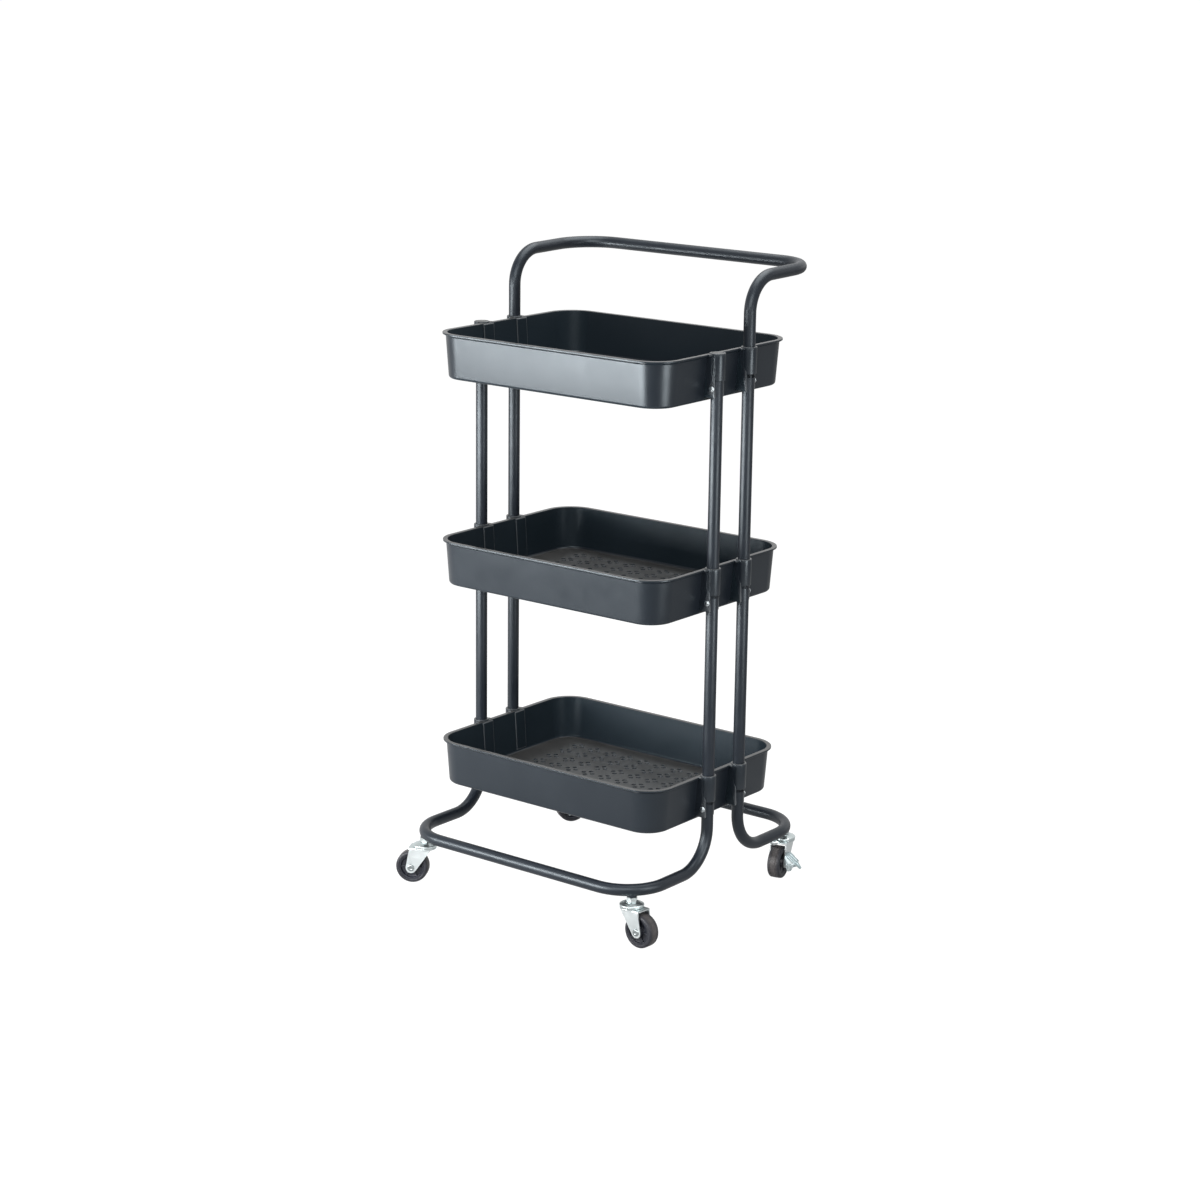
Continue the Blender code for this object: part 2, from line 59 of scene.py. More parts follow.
# Tube frame: its places and outer sizes are read from the CAD nodes
post_low, post_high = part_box("lower_post_rear_right")
base_low, base_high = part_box("rear_base_tube")
handle_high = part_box("handle_tube")[1]
TUBE_RADIUS = (post_high.x - post_low.x) / 2
POST_X = (post_high.x + post_low.x) / 2
POST_Y = (post_high.y + post_low.y) / 2
BASE_Z = base_low.z + TUBE_RADIUS
BASE_BAR_Y = base_high.y - TUBE_RADIUS
HANDLE_BAR_Y = handle_high.y - TUBE_RADIUS
HANDLE_BAR_Z = handle_high.z - TUBE_RADIUS

# The frame's bends and joints, which repeat the CAD's own numbers
BASE_RISE_BEND = 0.053
BASE_CORNER_BEND = 0.060
HANDLE_RISE_BEND = 0.046
HANDLE_CORNER_BEND = 0.057
HANDLE_TILT = math.radians(1.0)
BOSS_RADIUS = 0.0064
BOSS_SINK = 0.004
CAP_PLUG_RADIUS = 0.0062
TUBE_SIDES = 40
BEND_STEPS = 18

# Baskets
COLLAR_RISE = 0.0015
RIMS = {tier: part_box(f"{tier}_basket")[1].z - COLLAR_RISE for tier in TIERS}
BASKET_DEPTH = RIMS["top"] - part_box("top_basket")[0].z
RIM_X = POST_X - 0.005
RIM_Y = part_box("top_basket")[1].y
RIM_CORNER = 0.042
BASKET_WALL = 0.0025
LIP_REACH = 0.0040
LIP_HEIGHT = 0.0046
LIP_EDGE = 0.0021
WALL_DRAFT = 0.0045
FLOOR_ROUND = 0.0042
FLOOR_EDGE = 0.009
CORNER_STEPS = 18

# The pierced floor: a lattice of clusters, each of four holes
CLUSTER_PITCH = 0.0292
CLUSTER_COLUMNS = 10
CLUSTER_ROWS = 8
CLUSTER_REACH = 0.0072
HOLE_RADIUS = 0.0036
HOLE_SIDES = 12

# Post sockets, in a frame with the post's axis at the origin and the wall towards -X
COLLAR_RADIUS = 0.0106
COLLAR_DROP = 0.034
COLLAR_BORE = 0.0083
COLLAR_TAPER = 0.0004
SADDLE_DROP = 0.056
FLANK_END = 0.0035
PAD_RISE = 0.0012
TAB_HALF_WIDTH = 0.0138
TAB_THICKNESS = 0.0024
SCREW_DROP = 0.044
SCREW_SHANK = 0.0020
SCREW_HEAD = 0.0040
SCREW_HEAD_HEIGHT = 0.0024
SCREW_REACH = 0.009
RECESS_LONG = 0.0023
RECESS_WIDE = 0.0007
RECESS_DEPTH = 0.0016

# Casters, in a frame with the stem's axis at the origin and the wheel trailing towards +X
WHEEL_RADIUS = 0.0225
WHEEL_HALF_WIDTH = 0.00875
TREAD_HALF_WIDTH = 0.0074
TRAIL = 0.0175
CORE_RADIUS = 0.0175
CORE_SET_BACK = 0.0008
HUB_RADIUS = 0.0075
HUB_HALF_WIDTH = 0.0089
WEB_HALF_WIDTH = 0.0052
RIB_COUNT = 3
RIB_THICKNESS = 0.0016
RIB_HALF_WIDTH = 0.0070
AXLE_RADIUS = 0.0030
AXLE_HEAD = 0.0050
AXLE_HEAD_HEIGHT = 0.0013
FORK_HALF_WIDTH = 0.0120
FORK_SHEET = 0.0018
FORK_FOLD = 0.0021
FORK_TOP = 0.0513
FORK_BACK_RADIUS = 0.0158
FORK_FRONT = 0.0215
LEG_BACK = -0.0087
LEG_FRONT = 0.0204
LEG_END_RADIUS = 0.0075
LEG_SHOULDER = 0.004
STEM_RADIUS = 0.0040
STEM_TOP = 0.0740
THREAD_PITCH = 0.00125
THREAD_DEPTH = 0.0006
RIVET_RADIUS = 0.0050
RIVET_HEAD = 0.0066
RIVET_HEAD_HEIGHT = 0.0022
RACE_RADIUS = 0.0164
RACE_TOP = 0.0580
NUT_RADIUS = 0.0075
NUT_HEIGHT = 0.0064
GAP = 0.0003
FINE_GAP = 0.0001
WHEEL_SIDES = 64

# Brake lever, in a frame with its pin along X at the origin and the pedal reaching out towards +Y
LEVER_PIN_OUT = 0.0045
LEVER_PIN_RADIUS = 0.0015
LEVER_PIN_REACH = 0.0112
LEVER_HALF_WIDTH = 0.0100
LEVER_TIP_HALF_WIDTH = 0.0026
LEVER_TIP_X = 0.0040
LEVER_SHEET = 0.0014
LEVER_TOP = (-0.0033, 0.0140)
LEVER_TIP = (0.0190, -0.0030)
AXLE_TONGUE = 0.0085
LEVER_RIDGE_RADIUS = 0.0009
LEVER_RIB_RADIUS = 0.0006

# Studio
FLOOR_REACH = 45.0
FLOOR_THICKNESS = 0.02


# ---------------------------------------------------------------- mesh tools


def filleted(corners, steps=5):
    """A closed outline through (x, y) corners. A third number rounds that corner with its radius."""
    points = []
    for k, corner in enumerate(corners):
        here = Vector(corner[:2])
        if len(corner) == 2:
            points.append(tuple(here))
            continue
        radius = corner[2]
        back = (Vector(corners[k - 1][:2]) - here).normalized()
        onward = (Vector(corners[(k + 1) % len(corners)][:2]) - here).normalized()
        turn = math.pi - back.angle(onward)
        centre = here + (back + onward).normalized() * radius / math.cos(turn / 2)
        spoke = here + back * radius * math.tan(turn / 2) - centre
        spin = Matrix.Rotation(math.copysign(turn / steps, -back.cross(onward)), 2)
        for _ in range(steps + 1):
            points.append(tuple(centre + spoke))
            spoke = spin @ spoke
    return points


def arc(centre, radius, start, end, steps):
    """Points along an arc, from one angle in degrees to another."""
    angles = (math.radians(start + (end - start) * k / steps) for k in range(steps + 1))
    return [(centre[0] + radius * math.cos(a), centre[1] + radius * math.sin(a)) for a in angles]


def closed(bm):
    bmesh.ops.remove_doubles(bm, verts=bm.verts, dist=1e-6)
    bmesh.ops.recalc_face_normals(bm, faces=bm.faces)
    return bm


def lathe(profile, sides=TUBE_SIDES):
    """A closed outline of (radius, height) points turned about +Z."""
    bm = bmesh.new()
    rings = []
    for radius, height in profile:
        if radius < 1e-7:
            rings.append([bm.verts.new((0, 0, height))] * sides)
            continue
        turns = (2 * math.pi * k / sides for k in range(sides))
        rings.append([bm.verts.new((radius * math.cos(a), radius * math.sin(a), height)) for a in turns])
    for ring, after in zip(rings, rings[1:] + rings[:1]):
        for k in range(sides):
            corners = [ring[k], ring[(k + 1) % sides], after[(k + 1) % sides], after[k]]
            corners = list(dict.fromkeys(corners))
            if len(corners) > 2:
                bm.faces.new(corners)
    return closed(bm)


def rod(radius, low, high, sides=TUBE_SIDES, edge=0.0):
    """A cylinder about +Z, with its two edges rounded where edge is given."""
    rim = (edge,) if edge else ()
    return lathe(filleted([(0, low), (radius, low, *rim), (radius, high, *rim), (0, high)], 3), sides)


def prism(outline, low, high, edge=0.0):
    """A closed outline in XY raised from low to high, with the edges of both its ends rounded by edge."""
    bm = bmesh.new()
    base = bm.faces.new([bm.verts.new((x, y, low)) for x, y in outline])
    raised = bmesh.ops.extrude_face_region(bm, geom=[base])
    tops = [item for item in raised["geom"] if isinstance(item, bmesh.types.BMVert)]
    bmesh.ops.translate(bm, verts=tops, vec=(0, 0, high - low))
    closed(bm)
    if edge:
        flat = [e for e in bm.edges if abs(e.verts[0].co.z - e.verts[1].co.z) < 1e-7]
        bmesh.ops.bevel(bm, geom=flat, offset=edge, segments=2, affect="EDGES", profile=0.5)
    return bm


def moved(bm, matrix):
    bmesh.ops.transform(bm, matrix=matrix, verts=bm.verts)
    if matrix.determinant() < 0:
        bmesh.ops.reverse_faces(bm, faces=bm.faces)
    return bm


def shifted(bm, x=0.0, y=0.0, z=0.0):
    return moved(bm, Matrix.Translation((x, y, z)))


def laid(bm):
    """Lays a turned shape's +Z axis along +Y."""
    return moved(bm, Matrix.Rotation(math.radians(-90), 4, "X"))


def standing(bm):
    """Turns a prism drawn in XY so that its outline stands in XZ, and its height runs along -Y."""
    return moved(bm, Matrix.Rotation(math.radians(90), 4, "X"))


def along_x(bm):
    """Turns a prism drawn in XY so that its outline stands in YZ, and its height runs along +X."""
    return moved(bm, Matrix(((0, 0, 1, 0), (1, 0, 0, 0), (0, 1, 0, 0), (0, 0, 0, 1))))


def merged(shapes):
    """Several shapes that don't touch, as one."""
    mesh = bpy.data.meshes.new("helper")
    whole = bmesh.new()
    for shape in shapes:
        shape.to_mesh(mesh)
        shape.free()
        whole.from_mesh(mesh)
    bpy.data.meshes.remove(mesh)
    return whole


def combine(bm, tool, operation):
    pieces = []
    for shape in (bm, tool):
        mesh = bpy.data.meshes.new("helper")
        shape.to_mesh(mesh)
        shape.free()
        piece = bpy.data.objects.new("helper", mesh)
        bpy.context.scene.collection.objects.link(piece)
        pieces.append(piece)
    modifier = pieces[0].modifiers.new("combine", "BOOLEAN")
    modifier.operation = operation
    modifier.solver = "EXACT"
    modifier.object = pieces[1]
    bpy.context.view_layer.update()
    result = bmesh.new()
    result.from_object(pieces[0], bpy.context.evaluated_depsgraph_get())
    for piece in pieces:
        mesh = piece.data
        bpy.data.objects.remove(piece, do_unlink=True)
        bpy.data.meshes.remove(mesh)
    bmesh.ops.dissolve_degenerate(result, dist=1e-6, edges=result.edges)
    return result


def union(bm, tool):
    return combine(bm, tool, "UNION")


def cut(bm, tool):
    return combine(bm, tool, "DIFFERENCE")


def overlap(bm, tool):
    return combine(bm, tool, "INTERSECT")


def body_of(node):
    bodies = frame["record"]["behaviour"]["bodies"]
    return next(body for body, members in bodies.items() if node in members)


def show(node, shape, finish, smooth=38, stand=Matrix()):
    """Shows a shape, a bmesh or a mesh, in place of a CAD node. It is drawn in the frame of its stand."""
    if isinstance(shape, bmesh.types.BMesh):
        mesh = bpy.data.meshes.new(f"{node}_look")
        shape.to_mesh(mesh)
        shape.free()
    else:
        mesh = shape
    if not mesh.materials:
        mesh.materials.append(finish)
        mesh.shade_smooth()
        mesh.set_sharp_from_angle(angle=math.radians(smooth))
    piece = bpy.data.objects.new(f"{node}_look", mesh)
    piece.matrix_world = stand
    bpy.context.scene.collection.objects.link(piece)
    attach(piece, body_of(node))
    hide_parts(node)
    return piece


# ---------------------------------------------------------------- materials


# The tint of the sheen on plastic and paint, fitted to the photo's tones
COOL = (0.84, 0.94, 1.0)


class Finish:
    """A Principled material whose colour, roughness and relief come from noise in the piece's own space."""

    def __init__(self, name, metallic=0.0, ior=1.5, tint=(1.0, 1.0, 1.0)):
        self.material = bpy.data.materials.new(name)
        self.material.use_nodes = True
        self.nodes = self.material.node_tree.nodes
        self.links = self.material.node_tree.links
        self.shader = self.nodes["Principled BSDF"]
        self.shader.inputs["Metallic"].default_value = metallic
        self.shader.inputs["IOR"].default_value = ior
        self.shader.inputs["Specular Tint"].default_value = (*tint, 1.0)
        self.place = self.nodes.new("ShaderNodeTexCoord").outputs["Object"]
        self.relief = None

    def noise(self, scale, detail=3.0, stretch=(1.0, 1.0, 1.0), rough=0.5):
        """Noise between about 0.25 and 0.75, with the given number of features to a metre."""
        mapping = self.nodes.new("ShaderNodeMapping")
        mapping.inputs["Scale"].default_value = stretch
        self.links.new(self.place, mapping.inputs["Vector"])
        made = self.nodes.new("ShaderNodeTexNoise")
        made.inputs["Scale"].default_value = scale
        made.inputs["Detail"].default_value = detail
        made.inputs["Roughness"].default_value = rough
        self.links.new(mapping.outputs["Vector"], made.inputs["Vector"])
        return made.outputs["Fac"]

    def spread(self, source, low, high, start=0.3, end=0.7):
        """Maps a value from start..end onto low..high."""
        ranged = self.nodes.new("ShaderNodeMapRange")
        ranged.inputs["From Min"].default_value = start
        ranged.inputs["From Max"].default_value = end
        ranged.inputs["To Min"].default_value = low
        ranged.inputs["To Max"].default_value = high
        self.links.new(source, ranged.inputs["Value"])
        return ranged.outputs["Result"]

    def clouds(self, scale, detail, rough=0.5):
        """Noise spread out to between about 0 and 1."""
        return self.spread(self.noise(scale, detail, rough=rough), 0, 1)

    def blend(self, factor, first, second):
        """A colour between two, each a colour or a socket."""
        mix = self.nodes.new("ShaderNodeMix")
        mix.data_type = "RGBA"
        self.links.new(factor, mix.inputs["Factor"])
        for colour, socket in ((first, mix.inputs[6]), (second, mix.inputs[7])):
            if isinstance(colour, bpy.types.NodeSocket):
                self.links.new(colour, socket)
            else:
                socket.default_value = (*colour, 1.0)
        return mix.outputs[2]

    def facing(self):
        """The surface's normal."""
        return self.nodes.new("ShaderNodeNewGeometry").outputs["Normal"]

    def parts(self, vector):
        """A vector's X, Y and Z."""
        separate = self.nodes.new("ShaderNodeSeparateXYZ")
        self.links.new(vector, separate.inputs["Vector"])
        return separate.outputs

    def edges(self, start=0.52, end=0.60, amount=1.0):
        """Nearly nothing on flat faces, rising along convex edges, or along concave ones where end is below
        start."""
        geometry = self.nodes.new("ShaderNodeNewGeometry")
        return self.spread(geometry.outputs["Pointiness"], 0.0, amount, start, end)

    def colour(self, source):
        self.links.new(source, self.shader.inputs["Base Color"])

    def roughness(self, source):
        self.links.new(source, self.shader.inputs["Roughness"])

    def bump(self, source, height):
        """Adds relief of the given height in metres."""
        made = self.nodes.new("ShaderNodeBump")
        made.inputs["Distance"].default_value = height
        made.inputs["Strength"].default_value = 1.0
        self.links.new(source, made.inputs["Height"])
        if self.relief is not None:
            self.links.new(self.relief, made.inputs["Normal"])
        self.relief = made.outputs["Normal"]
        self.links.new(self.relief, self.shader.inputs["Normal"])


def basket_plastic():
    """Black moulded plastic with a fine grain, slight sinks, and a painted highlight: pale colour on convex
    edges. Inner walls are paler, which is painted light, and less glossy than outer ones. Faces that look
    up are the palest, also painted light. Both are fitted to the photo's tones. A face counts as inner where
    it turns towards the frame's origin, so the undersides do too."""
    made = Finish("basket_plastic", ior=1.5, tint=COOL)
    # Mask for painted light: faces that look up get a paler colour
    upward_painted_light_mask = made.spread(made.parts(made.facing())["Z"], 0.0, 1.0, 0.75, 0.98)
    outwards = made.nodes.new("ShaderNodeVectorMath")
    outwards.operation = "DOT_PRODUCT"
    made.links.new(made.facing(), outwards.inputs[0])
    made.links.new(made.place, outwards.inputs[1])
    # Mask for painted light: inner walls get a paler colour, and also less gloss
    inner = made.spread(outwards.outputs["Value"], 1.0, 0.0, -0.05, -0.01)
    mottle = made.clouds(9.0, 4.0)
    outside = made.blend(mottle, (0.0060, 0.0085, 0.0125), (0.0090, 0.0120, 0.0165))
    # Painted light: the paler colour of inner walls
    inside = made.blend(mottle, (0.0090, 0.0140, 0.0185), (0.0125, 0.0185, 0.0240))
    # Painted light: the palest colour, on faces that look up
    floors = made.blend(made.clouds(24.0, 5.0), (0.0410, 0.0405, 0.0400), (0.0560, 0.0550, 0.0535))
    shade = made.blend(upward_painted_light_mask, made.blend(inner, outside, inside), floors)
    # Painted highlight: pale colour along convex edges
    made.colour(made.blend(made.edges(amount=0.60), shade, (0.190, 0.200, 0.210)))
    made.roughness(made.spread(made.noise(38.0, 5.0), 0.30, 0.37))
    made.links.new(made.spread(inner, 0.50, 0.10, 0.0, 1.0), made.shader.inputs["Specular IOR Level"])
    made.bump(made.noise(11.0, 2.0), 0.00035)
    made.bump(made.noise(1500.0, 2.0), 0.000014)
    return made.material


def tube_paint():
    """Black powder coat with a faint orange peel."""
    made = Finish("tube_paint", ior=1.5, tint=COOL)
    made.colour(made.blend(made.clouds(14.0, 4.0), (0.0045, 0.0065, 0.0105), (0.0068, 0.0090, 0.0140)))
    made.roughness(made.spread(made.noise(60.0, 4.0), 0.36, 0.44))
    made.bump(made.noise(420.0, 2.0), 0.000012)
    made.bump(made.noise(1900.0, 1.0), 0.000004)
    return made.material


def zinc(name, tint):
    """Zinc plate over pressed sheet: faint clouds, rolling marks and bright rubbed edges, with painted shade
    in concave creases.
    """
    made = Finish(name, metallic=1.0)
    pale = tuple(1.07 * channel for channel in tint)
    shade = made.blend(made.clouds(90.0, 5.0), tint, pale)
    shade = made.blend(made.edges(amount=0.5), shade, (0.90, 0.93, 0.94))
    # Painted shade: dark colour in concave creases
    made.colour(made.blend(made.edges(0.48, 0.40), shade, (0.10, 0.11, 0.12)))
    made.roughness(made.spread(made.noise(160.0, 4.0), 0.30, 0.40))
    made.bump(made.noise(700.0, 2.0, stretch=(1.0, 1.0, 0.12)), 0.000004)
    made.bump(made.noise(90.0, 2.0), 0.00002)
    return made.material


def wheel_plastic():
    """Blue-black moulded plastic."""
    made = Finish("wheel_plastic", ior=1.47)
    made.colour(made.blend(made.clouds(70.0, 4.0), (0.005, 0.006, 0.010), (0.009, 0.0105, 0.017)))
    made.roughness(made.spread(made.noise(160.0, 4.0), 0.34, 0.48))
    made.bump(made.noise(1600.0, 2.0), 0.000015)
    return made.material


def tyre_rubber():
    """Blue-black rubber, with grey-brown floor dust on the running surface between its two shoulders."""
    made = Finish("tyre_rubber", ior=1.45)
    across = made.nodes.new("ShaderNodeMath")
    across.operation = "ABSOLUTE"
    made.links.new(made.parts(made.place)["Y"], across.inputs[0])
    side = made.blend(made.clouds(190.0, 5.0), (0.008, 0.0090, 0.013), (0.015, 0.0160, 0.022))
    dust = made.blend(made.clouds(150.0, 6.0, 0.65), (0.026, 0.024, 0.025), (0.060, 0.055, 0.055))
    tread = made.spread(across.outputs["Value"], 1.0, 0.0, 0.0030, TREAD_HALF_WIDTH)
    made.colour(made.blend(tread, side, dust))
    made.roughness(made.spread(made.noise(300.0, 4.0), 0.44, 0.62))
    made.bump(made.noise(900.0, 4.0), 0.00003)
    return made.material


finishes = {
    "basket_plastic": basket_plastic(),
    "tube_paint": tube_paint(),
    "zinc": zinc("zinc", (0.580, 0.640, 0.645)),
    "screw_zinc": zinc("screw_zinc", (0.520, 0.565, 0.585)),
    "rivet_zinc": zinc("rivet_zinc", (0.300, 0.330, 0.335)),
    "lever_zinc": zinc("lever_zinc", (0.400, 0.490, 0.510)),
    "wheel_plastic": wheel_plastic(),
    "tyre_rubber": tyre_rubber(),
}


# ---------------------------------------------------------------- tube frame


def bent_path(corners, bends):
    """The corner points of a route, with an arc of the given radius at each inner corner."""
    corners = [Vector(corner) for corner in corners]
    path = [corners[0]]
    for before, corner, after, radius in zip(corners, corners[1:], corners[2:], bends):
        back = (before - corner).normalized()
        onward = (after - corner).normalized()
        turn = math.pi - back.angle(onward)
        centre = corner + (back + onward).normalized() * radius / math.cos(turn / 2)
        spoke = corner + back * radius * math.tan(turn / 2) - centre
        spin = Matrix.Rotation(turn / BEND_STEPS, 3, (-back).cross(onward))
        for _ in range(BEND_STEPS + 1):
            path.append(centre + spoke)
            spoke = spin @ spoke
    path.append(corners[-1])
    return path


def swept(path, radius=TUBE_RADIUS):
    """A round bar along a path."""
    bm = bmesh.new()
    rings = []
    side = Vector((1, 0, 0))
    before = (path[1] - path[0]).normalized()
    for k, point in enumerate(path):
        tangent = (path[min(k + 1, len(path) - 1)] - path[max(k - 1, 0)]).normalized()
        side = before.rotation_difference(tangent) @ side
        before = tangent
        across = tangent.cross(side)
        turns = (2 * math.pi * j / TUBE_SIDES for j in range(TUBE_SIDES))
        spokes = (math.cos(a) * side + math.sin(a) * across for a in turns)
        rings.append([bm.verts.new(point + radius * spoke) for spoke in spokes])
    for ring, after in zip(rings, rings[1:]):
        for j in range(TUBE_SIDES):
            bm.faces.new((ring[j], ring[(j + 1) % TUBE_SIDES], after[(j + 1) % TUBE_SIDES], after[j]))
    bm.faces.new(rings[0])
    bm.faces.new(rings[-1])
    return closed(bm)


def stem_place(name):
    """Where a caster's stem stands."""
    joint = next(j for j in frame["joints"] if j["name"] == f"{name}_swivel_turn")
    return joint["pos_m"][0], joint["pos_m"][1]


def base_tube(end, sign_y):
    """The bent tube, with the small boss under each corner that takes a caster's stem."""
    node = f"{end}_base_tube"
    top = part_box(node)[1].z
    post_y, bar_y = sign_y * POST_Y, sign_y * BASE_BAR_Y
    corners = (
        (-POST_X, post_y, top),
        (-POST_X, post_y, BASE_Z),
        (-POST_X, bar_y, BASE_Z),
        (POST_X, bar_y, BASE_Z),
        (POST_X, post_y, BASE_Z),
        (POST_X, post_y, top),
    )
    bm = swept(bent_path(corners, (BASE_RISE_BEND, BASE_CORNER_BEND, BASE_CORNER_BEND, BASE_RISE_BEND)))
    boss_low = RACE_TOP + NUT_HEIGHT + 2 * GAP
    for side, _ in SIDES:
        x, y = stem_place(f"{end}_{side}")
        boss = rod(BOSS_RADIUS, boss_low, BASE_Z - BOSS_SINK, 32, 0.0004)
        bm = union(bm, shifted(boss, x, y))
    show(node, bm, finishes["tube_paint"])


def post(node):
    low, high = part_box(node)
    x, y = (low.x + high.x) / 2, (low.y + high.y) / 2
    show(node, shifted(rod(TUBE_RADIUS, low.z, high.z, edge=0.0006), x, y), finishes["tube_paint"])


def handle():
    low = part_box("handle_tube")[0].z
    bend_z = HANDLE_BAR_Z - (HANDLE_BAR_Y - POST_Y) * math.tan(HANDLE_TILT)
    corners = (
        (-POST_X, POST_Y, low),
        (-POST_X, POST_Y, bend_z),
        (-POST_X, HANDLE_BAR_Y, HANDLE_BAR_Z),
        (POST_X, HANDLE_BAR_Y, HANDLE_BAR_Z),
        (POST_X, POST_Y, bend_z),
        (POST_X, POST_Y, low),
    )
    bends = (HANDLE_RISE_BEND, HANDLE_CORNER_BEND, HANDLE_CORNER_BEND, HANDLE_RISE_BEND)
    show("handle_tube", swept(bent_path(corners, bends)), finishes["tube_paint"])


def post_cap(side, sign_x):
    """A plug with a low domed head."""
    node = f"post_cap_{side}"
    low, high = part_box(node)
    shoulder = RIMS["top"] + GAP
    outline = [
        (0, low.z),
        (CAP_PLUG_RADIUS, low.z, 0.0008),
        (CAP_PLUG_RADIUS, shoulder),
        (TUBE_RADIUS, shoulder, 0.0003),
        (TUBE_RADIUS, shoulder + 0.0009, 0.0005),
        (TUBE_RADIUS * 0.62, high.z),
        (0, high.z),
    ]
    cap = lathe(filleted(outline, 4))
    show(node, shifted(cap, sign_x * POST_X, -POST_Y), finishes["basket_plastic"])


# ---------------------------------------------------------------- baskets


def rounded_ring(inset, z):
    """The rim's outline moved inwards by the inset, at a height."""
    half_x, half_y, corner = RIM_X - inset, RIM_Y - inset, RIM_CORNER - inset
    ring = []
    for sign_x, sign_y, start in ((1, 1, 0), (-1, 1, 90), (-1, -1, 180), (1, -1, 270)):
        centre = (sign_x * (half_x - corner), sign_y * (half_y - corner))
        ring += [(x, y, z) for x, y in arc(centre, corner, start, start + 90, CORNER_STEPS)]
    return ring


def wall_inset(drop):
    """How far the outside of the wall is inside the rim, at a drop below it."""
    return LIP_REACH + WALL_DRAFT * drop / BASKET_DEPTH


def basket_shell():
    """The tray, whose wall flares out to a thin lip. The rim's top is at z = 0."""
    floor = -BASKET_DEPTH
    foot = wall_inset(BASKET_DEPTH)
    flat = foot + FLOOR_EDGE
    section = [
        (flat, floor),
        (foot, floor, FLOOR_ROUND),
        (wall_inset(LIP_HEIGHT), -LIP_HEIGHT, 0.0008),
        (0, -LIP_EDGE, 0.0003),
        (0, 0, 0.0005),
        (LIP_REACH + BASKET_WALL, 0, 0.0010),
        (foot + BASKET_WALL, floor + BASKET_WALL, FLOOR_ROUND),
        (flat, floor + BASKET_WALL),
    ]
    bm = bmesh.new()
    rings = [[bm.verts.new(corner) for corner in rounded_ring(inset, z)] for inset, z in filleted(section, 6)]
    for ring, after in zip(rings, rings[1:]):
        for k in range(len(ring)):
            following = (k + 1) % len(ring)
            bm.faces.new((ring[k], ring[following], after[following], after[k]))
    bm.faces.new(rings[0])
    bm.faces.new(rings[-1])
    return closed(bm)


def socket():
    """A post's socket in its own frame: a collar round the post, a block between it and the wall, and a tab
    that carries the rim's top round the collar. Once bored, the block's foot is two cheeks by the post."""
    wall_x = RIM_X - POST_X
    inner = [wall_x - wall_inset(drop) - BASKET_WALL - PAD_RISE for drop in (SADDLE_DROP, 0.003)]
    outline = [
        (inner[0], -SADDLE_DROP, 0.0010),
        (FLANK_END, -SADDLE_DROP, 0.0012),
        (FLANK_END, -COLLAR_DROP + 0.004),
        (-0.0005, -COLLAR_DROP + 0.010),
        (-0.0005, -0.0008),
        (inner[1], -0.0008, 0.0010),
    ]
    bm = standing(prism(filleted(outline, 3), -COLLAR_RADIUS, COLLAR_RADIUS, 0.0007))
    pad = [face for face in bm.faces if face.normal.x < -0.9 and face.calc_area() > 5e-4]
    bmesh.ops.inset_individual(bm, faces=pad, thickness=0.0014)
    barrel = [
        (0, -COLLAR_DROP),
        (COLLAR_RADIUS - COLLAR_TAPER, -COLLAR_DROP, 0.0009),
        (COLLAR_RADIUS, -0.004),
        (COLLAR_RADIUS, COLLAR_RISE, 0.0009),
        (0, COLLAR_RISE),
    ]
    bm = union(bm, lathe(filleted(barrel, 4), 48))
    tab = filleted([
        (wall_x - 0.0030, -TAB_HALF_WIDTH, 0.0006),
        (wall_x + 0.0022, -TAB_HALF_WIDTH, 0.0018),
        (0.0005, -COLLAR_RADIUS + 0.0002),
        (0.0005, COLLAR_RADIUS - 0.0002),
        (wall_x + 0.0022, TAB_HALF_WIDTH, 0.0018),
        (wall_x - 0.0030, TAB_HALF_WIDTH, 0.0006),
    ], 4)
    return union(bm, prism(tab, 0.0003 - TAB_THICKNESS, 0.0003, 0.0004))


def floor_holes():
    """The cutters for the holes in the floor."""
    holes = []
    for column in range(CLUSTER_COLUMNS):
        for row in range(CLUSTER_ROWS):
            x = (column - (CLUSTER_COLUMNS - 1) / 2) * CLUSTER_PITCH
            y = (row - (CLUSTER_ROWS - 1) / 2) * CLUSTER_PITCH
            for step_x, step_y in ((1, 0), (0, 1), (-1, 0), (0, -1)):
                hole = rod(HOLE_RADIUS, -BASKET_DEPTH - 0.004, -BASKET_DEPTH + 0.006, HOLE_SIDES)
                holes.append(shifted(hole, x + CLUSTER_REACH * step_x, y + CLUSTER_REACH * step_y))
    return merged(holes)


def four_ways(make):
    """The shape that make(sign_x, sign_y) gives at each of the four posts, as one."""
    shapes = []
    for _, sign_x in SIDES:
        for _, sign_y in ENDS:
            facing = Matrix.Diagonal((sign_x, sign_y, 1, 1))
            shapes.append(shifted(moved(make(), facing), sign_x * POST_X, sign_y * POST_Y))
    return merged(shapes)


def post_bore():
    """The cutter that clears the way of a post."""
    return rod(COLLAR_BORE, -BASKET_DEPTH - 0.01, 0.01, 48)


def screw_bore():
    """The cutter for a screw's hole, from the post's axis outwards."""
    return shifted(laid(rod(SCREW_SHANK + GAP, 0, COLLAR_RADIUS + 0.002, 16)), z=-SCREW_DROP)


def basket_mesh():
    bm = union(basket_shell(), four_ways(socket))
    bm = cut(bm, four_ways(post_bore))
    bm = cut(bm, four_ways(screw_bore))
    bm = cut(bm, floor_holes())
    mesh = bpy.data.meshes.new("basket_look")
    bm.to_mesh(mesh)
    bm.free()
    return mesh


def baskets():
    pattern = basket_mesh()
    for tier in TIERS:
        mesh = pattern.copy()
        mesh.transform(Matrix.Translation((0, 0, RIMS[tier])))
        show(f"{tier}_basket", mesh, finishes["basket_plastic"])
    bpy.data.meshes.remove(pattern)


